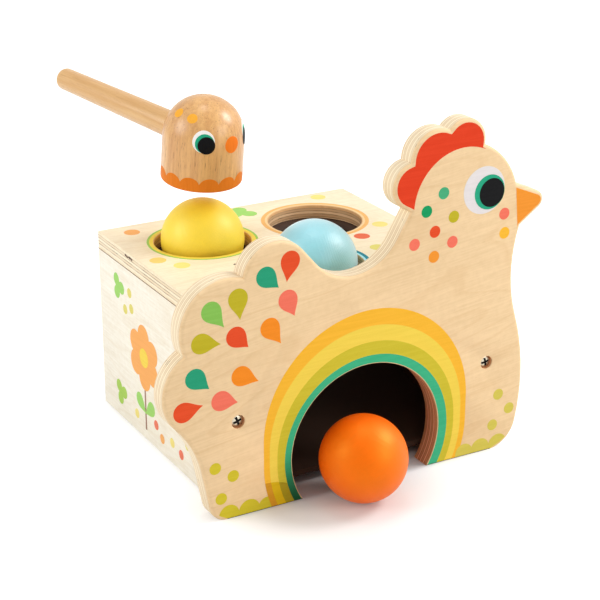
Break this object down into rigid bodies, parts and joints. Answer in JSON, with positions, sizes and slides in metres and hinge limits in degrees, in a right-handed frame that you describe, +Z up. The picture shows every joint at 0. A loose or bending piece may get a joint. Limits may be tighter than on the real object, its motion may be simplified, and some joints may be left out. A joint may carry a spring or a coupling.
{
  "type": "wooden pounding toy",
  "caption": "Wooden pounding toy: a plywood box behind a hen-shaped front panel, with balls gripped in holes in its top, a ramp inside, an arch they roll out of and a hammer.",
  "frame": {"origin": "middle of the ground under everything, at the rest pose: the bottom centre of the bounding box of the box, hen, balls and hammer", "axes": "+Z up, +X along the hen from tail to beak, +Y from the hen's printed face towards the back of the box"},
  "size_m": [0.2218, 0.267, 0.1894],
  "materials": {
    "plywood": "satin clear lacquer over birch plywood, printed",
    "pale_plywood": "satin clear lacquer over birch plywood",
    "grip_rubber": "matte moulded rubber",
    "dark_board": "matte dark hardboard",
    "yellow_paint": "satin paint on a turned wooden ball",
    "blue_paint": "satin paint on a turned wooden ball",
    "orange_paint": "satin paint on a turned wooden ball",
    "head_beech": "satin clear lacquer over turned wood, printed",
    "handle_beech": "satin clear lacquer over turned wood",
    "dowel_beech": "bare turned wood",
    "screw_steel": "nickel-plated steel"
  },
  "bodies": {
    "box": {"hen_front_panel": "plywood", "left_side_panel": "pale_plywood", "right_side_panel": "pale_plywood", "back_panel": "pale_plywood", "top_board": "plywood", "grip_ring_yellow": "grip_rubber", "grip_ring_orange": "grip_rubber", "grip_ring_blue": "grip_rubber", "ring_plate": "dark_board", "ramp_board": "dark_board", "ramp_cleat_left": "pale_plywood", "ramp_cleat_right": "pale_plywood", "top_dowel_1": "dowel_beech", "top_dowel_2": "dowel_beech", "top_dowel_3": "dowel_beech", "top_dowel_4": "dowel_beech", "top_dowel_5": "dowel_beech", "top_dowel_6": "dowel_beech", "back_dowel_1": "dowel_beech", "back_dowel_2": "dowel_beech", "back_dowel_3": "dowel_beech", "back_dowel_4": "dowel_beech", "front_screw_left": "screw_steel", "front_screw_right": "screw_steel", "plate_screw_1": "screw_steel", "plate_screw_2": "screw_steel", "plate_screw_3": "screw_steel", "plate_screw_4": "screw_steel", "plate_screw_5": "screw_steel", "plate_screw_6": "screw_steel"},
    "yellow_ball": {"yellow_ball": "yellow_paint"},
    "blue_ball": {"blue_ball": "blue_paint"},
    "orange_ball": {"orange_ball": "orange_paint"},
    "hammer": {"hammer_head": "head_beech", "hammer_handle": "handle_beech"}
  },
  "joints": [
    {"name": "yellow_ball_push", "type": "slide", "parent": "box", "child": "yellow_ball", "axis": [0, 0, 1], "range_m": [-0.0532, 0], "deforming": ["grip_ring_yellow"]},
    {"name": "blue_ball_push", "type": "slide", "parent": "box", "child": "blue_ball", "axis": [0, 0, 1], "range_m": [-0.0652, 0], "deforming": ["grip_ring_blue"]},
    {"name": "orange_ball_roll", "type": "slide", "parent": "box", "child": "orange_ball", "axis": [0, 1, 0], "range_m": [-0.15, 0.01]},
    {"name": "hammer_strike", "type": "slide", "parent": "box", "child": "hammer", "axis": [0, 0, 1], "range_m": [-0.0115, 0.06]}
  ]
}
